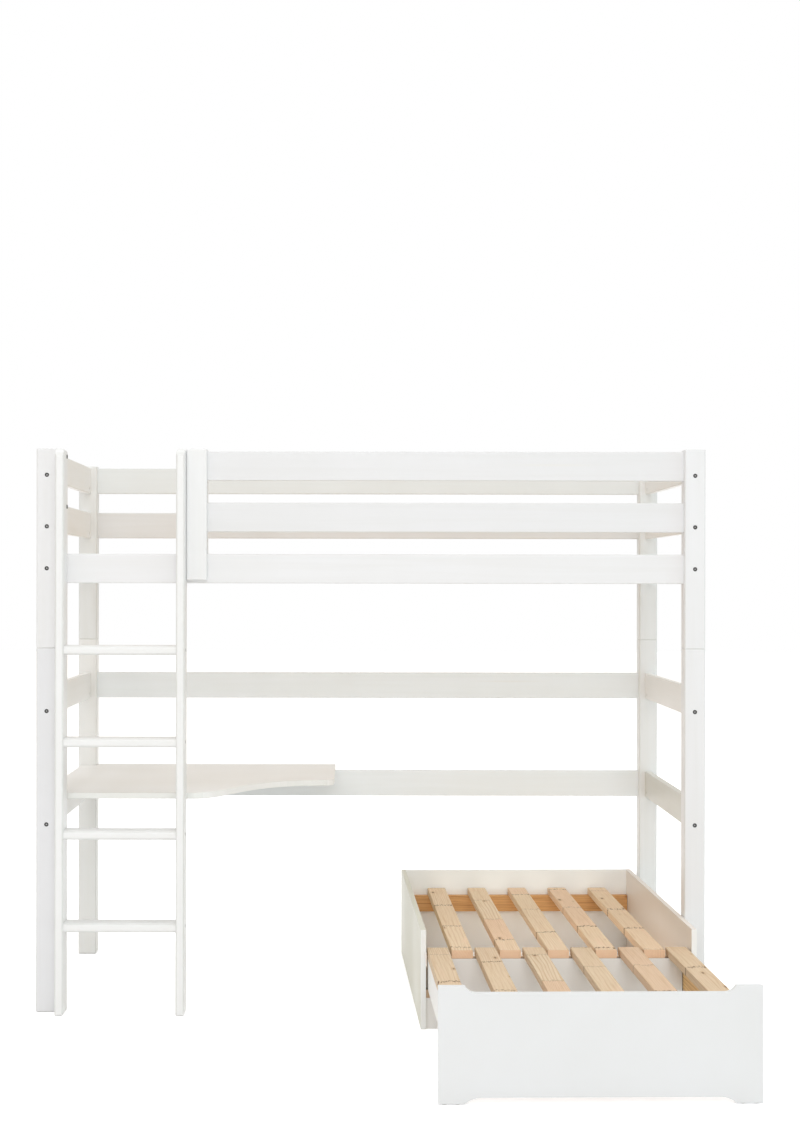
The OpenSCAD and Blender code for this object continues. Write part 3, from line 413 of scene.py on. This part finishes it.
def finger_joints(graph, run, v, index, far):
    """(seed for the tone of each length, 1 where a joint's line or open tips show)."""
    stray = graph.noise(graph.join(run, far, 0.0), STRAY_SCALE, 1.0)
    bent = graph.multiply_add(stray, JOINT_LENGTH * JOINT_STRAY, run)
    finger = graph.math("PINGPONG", v, FINGER_W)
    bent = graph.multiply_add(finger, FINGER_SLOPE, bent)
    wander = wood_noise(graph, (v, run, index), WANDER_SCALE, 3.0)
    cells = graph.math("DIVIDE", graph.multiply_add(wander, JOINT_WANDER, bent), JOINT_LENGTH)
    segment = graph.floor(cells)
    tone_seed = graph.multiply_add(segment, 7.31, graph.multiply(index, 3.7))
    nearest_joint = graph.floor(graph.add(cells, 0.5))
    joint_tone = graph.random(graph.multiply_add(nearest_joint, 3.3, index))
    inside = graph.math("FRACT", cells)
    away = graph.multiply(graph.smallest(inside, graph.subtract(1.0, inside)), JOINT_LENGTH)
    line = graph.span(away, 0.0030, 0.0012, 0.0, 0.12)
    # The fingers' open tips: short dark teeth along the grain, in an uneven row across the piece.
    teeth_at = graph.join(graph.multiply(v, TEETH_SCALE), segment, index)
    depth_at = graph.join(graph.multiply(v, DEPTH_SCALE), segment, far)
    teeth, depth = graph.noise(teeth_at, 1.0, 2.0), graph.noise(depth_at, 1.0, 1.0)
    reach = graph.subtract(away, graph.multiply(depth, TIP_REACH))
    gap = graph.multiply(graph.span(reach, 0.0015, -0.0015), graph.span(teeth, 0.47, 0.54))
    gap = graph.multiply(gap, graph.span(joint_tone, 0.1, 0.8, 0.35, 1.0))
    return tone_seed, graph.largest(line, gap)


def pine_shader(graph, at, tones=PINE, jointed=False, shade=1.0, knotty=0.5, crowd=1.0):
    """Planed pine at (u, v, z, number of the piece). jointed makes it of finger-jointed lengths,
    whose sawn ends are warmer. knotty is the share of places that have a knot, and crowd how
    close they lie."""
    u, v, z, index = at
    # Odd numbers such as 0.37 only keep a piece's random values apart.
    far = graph.multiply(graph.random(graph.add(index, 0.37)), TREE_LENGTH)
    run = graph.add(u, far)
    tone_seed = index
    if jointed:
        tone_seed, joints = finger_joints(graph, run, v, index, far)
    tone = graph.random(tone_seed)
    tone_two = graph.random(graph.add(tone_seed, 11.7))
    # Each length is cut from another place in the tree, so its rings start elsewhere.
    ring_u = graph.multiply_add(tone, RING_STEPS[0], run)
    ring_v = graph.multiply_add(tone_two, RING_STEPS[1], v)
    ring_at = (ring_u, ring_v, z)
    bend = wood_noise(graph, ring_at, BEND_SCALE, 2.0)
    across = graph.multiply_add(z, RING_TILT, graph.multiply_add(bend, RING_BEND, ring_v))
    rings = graph.math("SINE", graph.multiply(across, graph.span(tone_two, 0.0, 1.0, *RINGS)))
    latewood = graph.span(rings, 0.35, 0.95)
    fibre = wood_noise(graph, ring_at, FIBRE_SCALE, 3.0, 0.6, round_z=True)
    streak = wood_noise(graph, ring_at, STREAK_SCALE, 2.0, round_z=True)
    blush = wood_noise(graph, ring_at, BLUSH_SCALE, 3.0)
    knot_at = graph.join(graph.multiply(ring_u, KNOT_SCALE[0] * crowd),
                         graph.multiply(ring_v, KNOT_SCALE[1]), 0.0)
    knots = graph.node("TexVoronoi", {"Vector": knot_at, "Scale": 1.0, "Randomness": 1.0},
                       voronoi_dimensions="2D").outputs
    size = graph.span(graph.split(knots["Color"])[0], 1.0 - knotty, 1.0, 0.0, KNOT_SIZE)
    knot = graph.subtract(knots["Distance"], size)

    early, pale, pink, late = tones
    tint = graph.mix(graph.span(tone, 0.0, 1.0), early, pale)
    tint = graph.mix(graph.span(tone_two, 0.45, 1.0), tint, pink)
    rings_shown = graph.multiply(latewood, graph.span(tone, 0.2, 1.0, 0.22, 0.68))
    tint = graph.mix(rings_shown, tint, late)
    tint = graph.mix(graph.span(fibre, 0.35, 0.75, 0.0, 0.34), tint, late)
    tint = graph.mix(graph.span(streak, 0.5, 0.7, 0.0, 0.42), tint, late)
    tint = graph.mix(graph.span(blush, 0.5, 0.75, 0.0, 0.45), tint, pink)
    halo = graph.multiply(graph.span(knot, 0.11, 0.0), graph.span(size, 0.01, 0.04, 0.0, 0.65))
    tint = graph.mix(halo, tint, late)
    tint = graph.mix(graph.multiply(graph.span(knot, 0.0, -0.02), 0.85), tint, KNOT_DARK)
    height = graph.add(graph.multiply(latewood, 0.5), graph.multiply(fibre, 0.5))
    if jointed:
        tint = graph.mix(joints, tint, KNOT_DARK)
        ends = graph.absolute(graph.facing()[1])
        tint = graph.mix(graph.span(ends, 0.75, 0.95, 0.0, 0.75), tint, SAWN_END)
        height = graph.subtract(height, graph.multiply(joints, 0.8))
    # Painted shade: the whole piece is darkened for the light it gets.
    tint = graph.mix(1.0, tint, grey(shade), "MULTIPLY")
    normal = graph.bump(height, 0.35, 0.0006)
    rough = graph.span(fibre, 0.2, 0.8, 0.5, 0.66)
    return graph.surface(tint, rough, normal, PINE_GLOSS)


def pine(name, coords, upright=False, **look):
    """Pine on a node's pieces. coords are the arguments of pine_coords, and look those of
    pine_shader. upright is for a board that stands on its edge."""
    graph = material_graph(name)
    u, v, z, index = pine_coords(graph, **coords)
    if upright:
        v, z = z, v
    return graph.finish(pine_shader(graph, (u, v, z, index), **look))


def half_painted(name, node, inward, **look):
    """A pull-out side rail: lacquered outside and on its ends, bare pine on its other faces."""
    graph = material_graph(name)
    u, v, z, index = pine_coords(graph, node, turn=LOUNGE_TURN)
    bare = pine_shader(graph, (u, z, v, index), **look)
    paint = lacquer_shader(graph, "Y", "side")
    facing = graph.facing()
    inner = graph.multiply(facing[0], inward)
    mask = graph.span(graph.largest(inner, facing[2]), 0.3, 0.6)
    return graph.finish(graph.blend(mask, paint, bare))


def runner_pine():
    """The lounge's runners: bare pine at their ends, which are a little darkened, and painted dark on
    the long faces that show in the slit beside the pull-out's rail, as a painted shadow of that slit."""
    graph = material_graph("pine_runners")
    at = pine_coords(graph, "lounge_runners", turn=LOUNGE_TURN)
    ends = graph.span(graph.absolute(graph.facing()[1]), 0.5, 0.8)
    dark, bare = pine_shader(graph, at, shade=0.2), pine_shader(graph, at, shade=0.8)
    return graph.finish(graph.blend(ends, dark, bare))


# ---- Steel and felt ----

SOCKET_FROM, SOCKET_TO = 0.0009, 0.0026      # depth of the sockets' floors under the posts' faces
STEEL_DARK = colour(0.045, 0.044, 0.043)
STEEL_LIGHT = colour(0.10, 0.098, 0.095)
# Lighter steel on the sockets' floors: a painted highlight for the glint in them.
SOCKET_GLINT = grey(0.30)
STEEL_SMEAR = (300.0, 3.0)                   # noises, written as the lacquer's are
FELT_FUZZ = (1500.0, 4.0, 0.7)
FELT_DARK = colour(0.55, 0.53, 0.50)
FELT_LIGHT = colour(0.78, 0.76, 0.72)


def socket_floors(graph):
    """1 on the floors of the rail bolts' sockets, a little under the posts' outer faces."""
    coords, facing = graph.split(graph.coords()), graph.facing()
    left_front, right_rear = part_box("front_left_lower_post")[0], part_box("rear_right_lower_post")[1]
    mask = 0.0
    for part in (0, 1):
        depth = graph.smallest(
            graph.absolute(graph.subtract(coords[part], left_front[part])),
            graph.absolute(graph.subtract(coords[part], right_rear[part])))
        floor = graph.multiply(graph.math("GREATER_THAN", depth, SOCKET_FROM),
                               graph.math("LESS_THAN", depth, SOCKET_TO))
        outward = graph.math("GREATER_THAN", graph.absolute(facing[part]), 0.9)
        mask = graph.largest(mask, graph.multiply(floor, outward))
    return mask


def dark_steel(sockets=False):
    graph = material_graph("dark_steel_rail_bolts" if sockets else "dark_steel")
    smear = graph.noise(graph.coords(), *STEEL_SMEAR)
    tint = graph.mix(graph.span(smear, 0.3, 0.7), STEEL_DARK, STEEL_LIGHT)
    if sockets:
        # Painted highlight: the sockets' floors are lighter, for the glint in them.
        tint = graph.mix(socket_floors(graph), tint, SOCKET_GLINT)
    rough = graph.span(smear, 0.2, 0.8, 0.28, 0.45)
    normal = graph.bump(smear, 0.1, 0.0001)
    return graph.finish(graph.surface(tint, rough, normal, {"Metallic": 1.0}))


def felt():
    graph = material_graph("felt")
    fuzz = graph.noise(graph.coords(), *FELT_FUZZ)
    tint = graph.mix(fuzz, FELT_DARK, FELT_LIGHT)
    normal = graph.bump(fuzz, 0.8, 0.0008)
    return graph.finish(graph.surface(tint, 0.95, normal, {"Sheen Weight": 0.3}))


# ---- Dressing the CAD nodes ----

SLAT_CROWD = 1.7             # how close the lounge slats' knots lie
PANELS = {
    "desk_top": "desk",
    "pullout_front_panel": "front_panel",
    "lounge_left_panel": "carcass_left",
    "lounge_right_panel": "carcass_right",
    "lounge_back_panel": "carcass",
}
PLAIN_PINE = ("front_slat_ledger", "rear_slat_ledger", "pullout_front_ledger", "pullout_rear_rail",
              "post_dowels", "rail_dowels")
STEEL = ("barrel_nuts", "wood_screws", "ladder_bolts", "rung_bolts", "lounge_screws",
         "pullout_screws")


def slat_pitch(node, count):
    """Distance between neighbours of the slats that stand side by side in the turned lounge."""
    size = span_of(node)
    c, s = math.cos(LOUNGE_TURN), math.sin(LOUNGE_TURN)
    row = (size.x * c - size.y * s) / (c * c - s * s)
    return (row - SLAT_W) / (count - 1)


def lounge_slats(node, count, shift, **look):
    at = {"node": node, "turn": LOUNGE_TURN, "pitch": slat_pitch(node, count), "shift": shift}
    return pine("pine_" + node, at, jointed=True, crowd=SLAT_CROWD, **look)


# The place whose tone, with its painted light and shade, a grained board takes.
def board_paint_and_shade(node, axis):
    if node.startswith("ladder_"):
        return "ladder"
    return PAINT_AND_SHADE_OF.get(node, "side" if axis == "Y" else "front")


def dress_all():
    bed_pitch = (span_of("bed_slats").x - BED_SLAT_W) / (BED_SLATS - 1)
    looks = {
        "bed_slats": pine(
            "pine_bed_slats", {"node": "bed_slats", "pitch": bed_pitch, "shift": 0.0}),
        "lounge_slats": lounge_slats("lounge_slats", FIXED_SLATS, 0.5, knotty=0.3),
        # The pull-out's slats are painted darker: painted shade, as they stand more open to the light
        # than the fixed ones.
        "pullout_slats": lounge_slats("pullout_slats", PULLOUT_SLATS, 0.0, shade=0.88, knotty=0.35),
        "lounge_back_ledger": pine(
            "pine_back_ledger", {"node": "lounge_back_ledger", "along": "X", "turn": LOUNGE_TURN},
            upright=True, tones=AMBER, knotty=1.0, crowd=3.0),
        "pullout_left_rail": half_painted("rail_left", "pullout_left_rail", 1.0),
        "pullout_right_rail": half_painted("rail_right", "pullout_right_rail", -1.0,
                                           tones=HONEY, knotty=0.9),
        "lounge_runners": runner_pine(),
        "lounge_cross_board": panel_lacquer("side", raw_shadowed_cuts=True),
        "pullout_glides": felt(),
        "rail_bolts": dark_steel(sockets=True),
    }
    for node in PLAIN_PINE:
        looks[node] = pine("pine_" + node, {"node": node, "along": "X"})
    steel = dark_steel()
    for node in STEEL:
        looks[node] = steel
    for node, place in PANELS.items():
        looks[node] = panel_lacquer(place)
    boards = {}
    for node in frame["nodes"]:
        if node not in looks:
            size = span_of(node)
            axis = "XYZ"[max(range(3), key=lambda i: size[i])]
            place = board_paint_and_shade(node, axis)
            if (place, axis) not in boards:
                boards[place, axis] = lacquer(axis, place)
            looks[node] = boards[place, axis]
        slots = frame["nodes"][node].data.materials
        slots.clear()
        slots.append(looks[node])


# ---- Softened panel edges ----

SOFT_EDGE = 0.0018                     # width of the rounding
SOFT_STEPS = 3                         # flats that make it up
WELD_REACH = 0.00002
FLAT_ANGLE = math.radians(0.5)         # faces that meet at less lie in one plane
SHARP_ANGLE = math.radians(50)         # edges that turn by more are rounded


def soften(node):
    """Rounds a board's sharp edges: joins its faces to whole flat ones, then bevels them."""
    board = frame["nodes"][node]
    weld = board.modifiers.new("weld", "WELD")
    weld.merge_threshold = WELD_REACH
    whole = board.modifiers.new("whole", "DECIMATE")
    whole.decimate_type = "DISSOLVE"
    whole.angle_limit = FLAT_ANGLE
    bevel = board.modifiers.new("bevel", "BEVEL")
    bevel.width = SOFT_EDGE
    bevel.segments = SOFT_STEPS
    bevel.limit_method = "ANGLE"
    bevel.angle_limit = SHARP_ANGLE
    bevel.use_clamp_overlap = True
    bevel.harden_normals = True


# ---- Stage and light ----

FLOOR_SIZE = 60.0
FLOOR_LIT = grey(0.86)                    # the floor's colour for the light it throws back
FLOOR_SHOWN = grey(0.98)                  # the same for the camera
FLOOR_LIFT = colour(0.45, 0.45, 0.46)     # what the camera sees on the floor beyond that
# Inside the lounge a painted warm glow stands in for the light from between the slats.
FLOOR_WARM = colour(0.20, 0.155, 0.12)    # the same inside the lounge
INSIDE_HALF_W = 0.40                      # the lounge's inside, from its middle
INSIDE_MARGIN = 0.03                      # how far it stays behind the side panels' ends

WORLD_LEVEL = 0.73
WORLD_TINT = colour(1.0, 0.965, 0.90)

# Place, target, width, height, watts, tint and spread in degrees. The last three stand in for the
# light that falls back into the lounge from its own boards.
SOFTBOXES = {
    "front": ((-0.3, -9.0, 4.3), (0.0, 0.0, 0.6), 5.0, 4.0, 205.0, (0.97, 0.985, 1.0), 180),
    "top": ((0.3, -0.85, 12.0), (0.3, -0.3, 0.0), 9.4, 9.4, 620.0, (0.84, 0.90, 1.0), 180),
    "right": ((6.0, -1.5, 1.7), (0.0, 0.0, 0.8), 3.0, 3.0, 30.0, (0.3, 0.8, 1.0), 180),
    "under_slats": ((0.56, 0.40, 0.004), (0.56, 0.40, 1.0), 0.60, 0.85, 1.0,
                    (1.0, 0.86, 0.70), 180),
    "back_panel_low": ((0.55, 0.00, 0.12), (0.55, 1.0, 0.12), 0.60, 0.12, 0.12,
                       (1.0, 0.62, 0.40), 180),
    "back_panel": ((0.52, 0.25, 0.52), (0.52, 0.95, 0.27), 0.50, 0.10, 0.05,
                   (0.72, 0.98, 0.95), 60),
}


def outside_lounge(graph):
    """1 on the floor outside the lounge's fixed part, 0 inside it."""
    depth = span_of("lounge_left_panel").y
    middle = (middle_of("lounge_left_panel") + middle_of("lounge_right_panel")) / 2
    local = graph.vector("SUBTRACT", graph.coords(), (middle.x, middle.y, 0.0))
    x, y, _ = graph.split(graph.turned(local, -LOUNGE_TURN))
    return graph.largest(
        graph.math("GREATER_THAN", graph.absolute(x), INSIDE_HALF_W),
        graph.math("GREATER_THAN", graph.absolute(y), depth / 2 - INSIDE_MARGIN))


def make_floor():
    """A pale floor that the camera sees as white, with the object's shadow on it. Inside the lounge it
    is seen as it is lit, plus a painted warm glow that stands in for the light from between the slats."""
    mesh = bpy.data.meshes.new("floor")
    half = FLOOR_SIZE / 2
    corners = [(-half, -half, 0), (half, -half, 0), (half, half, 0), (-half, half, 0)]
    mesh.from_pydata(corners, [], [(0, 1, 2, 3)])
    floor = bpy.data.objects.new("floor", mesh)
    bpy.context.scene.collection.objects.link(floor)
    graph = material_graph("floor")
    path = graph.node("LightPath").outputs
    seen = graph.largest(path["Is Camera Ray"], path["Is Glossy Ray"])
    seen = graph.largest(seen, path["Is Transmission Ray"])
    lit = graph.node("BsdfDiffuse", {"Color": FLOOR_LIT})
    pale = graph.node("BsdfDiffuse", {"Color": FLOOR_SHOWN})
    # Inside the lounge the floor shows a painted warm glow.
    lift = graph.mix(outside_lounge(graph), FLOOR_WARM, FLOOR_LIFT)
    glow = graph.node("Emission", {"Color": lift, "Strength": 1.0})
    shown = graph.node("AddShader", {0: pale.outputs[0], 1: glow.outputs[0]})
    mesh.materials.append(graph.finish(graph.blend(seen, lit, shown)))


def make_world():
    """Soft light all round, with white for what the camera sees of it."""
    world = bpy.data.worlds.new("studio")
    bpy.context.scene.world = world
    graph = Graph(world)
    path = graph.node("LightPath").outputs
    seen = graph.largest(path["Is Camera Ray"], path["Is Transmission Ray"])
    fill = graph.node("Background", {"Color": WORLD_TINT, "Strength": WORLD_LEVEL})
    white = graph.node("Background", {"Color": grey(1.0), "Strength": 1.0})
    graph.finish(graph.blend(seen, fill, white), "OutputWorld")


def make_softbox(name, place, target, width, height, power, tint, spread):
    data = bpy.data.lights.new(name, "AREA")
    data.shape = "RECTANGLE"
    data.size, data.size_y = width, height
    data.energy = power
    data.spread = math.radians(spread)
    data.color = tint
    lamp = bpy.data.objects.new(name, data)
    bpy.context.scene.collection.objects.link(lamp)
    lamp.visible_camera = False
    lamp.location = place
    lamp.rotation_euler = (Vector(target) - Vector(place)).to_track_quat("-Z", "Y").to_euler()


# ---- Main ----

bpy.context.scene.view_settings.view_transform = "Standard"
make_camera()
make_floor()
make_world()
for name, settings in SOFTBOXES.items():
    make_softbox(name, *settings)
dress_all()
for board in PANELS:
    soften(board)
